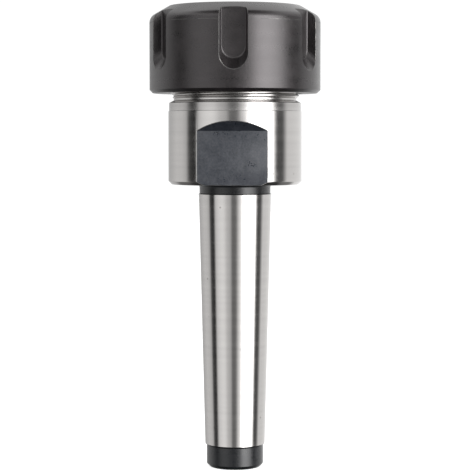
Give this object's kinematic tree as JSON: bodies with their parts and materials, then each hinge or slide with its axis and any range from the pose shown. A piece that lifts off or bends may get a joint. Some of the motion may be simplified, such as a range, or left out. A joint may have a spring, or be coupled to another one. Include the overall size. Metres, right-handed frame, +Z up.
{
  "type": "collet chuck holder",
  "caption": "Holder with a self-holding taper shank, a ground collar with wrench flats, a spring collet in a conical socket, and a slotted clamping nut that screws over the nose.",
  "frame": {"origin": "centre of the shank's lower end face", "axes": "+Z up the turning axis from the shank to the nut, and -Y and +Y out of the two wrench flats"},
  "size_m": [0.042, 0.042, 0.1137],
  "materials": {
    "ground_steel": "bright ground steel",
    "collet_steel": "hardened and ground spring steel",
    "blackened_steel": "satin black oxide on steel"
  },
  "bodies": {
    "holder": {"holder_body": "ground_steel"},
    "collet": {"spring_collet": "collet_steel"},
    "nut": {"clamping_nut": "blackened_steel"}
  },
  "joints": [
    {"name": "collet_lift", "type": "slide", "parent": "holder", "child": "collet", "axis": [0, 0, 1], "range_m": [0, 0.0105]},
    {"name": "nut_turn", "type": "hinge", "parent": "collet", "child": "nut", "pos_m": [0, 0, 0.103], "axis": [0, 0, 1], "range_deg": [0, 2520]}
  ],
  "couplings": [
    {"joint": "collet_lift", "follows": "nut_turn", "m_per_rad": 0.00023873}
  ]
}
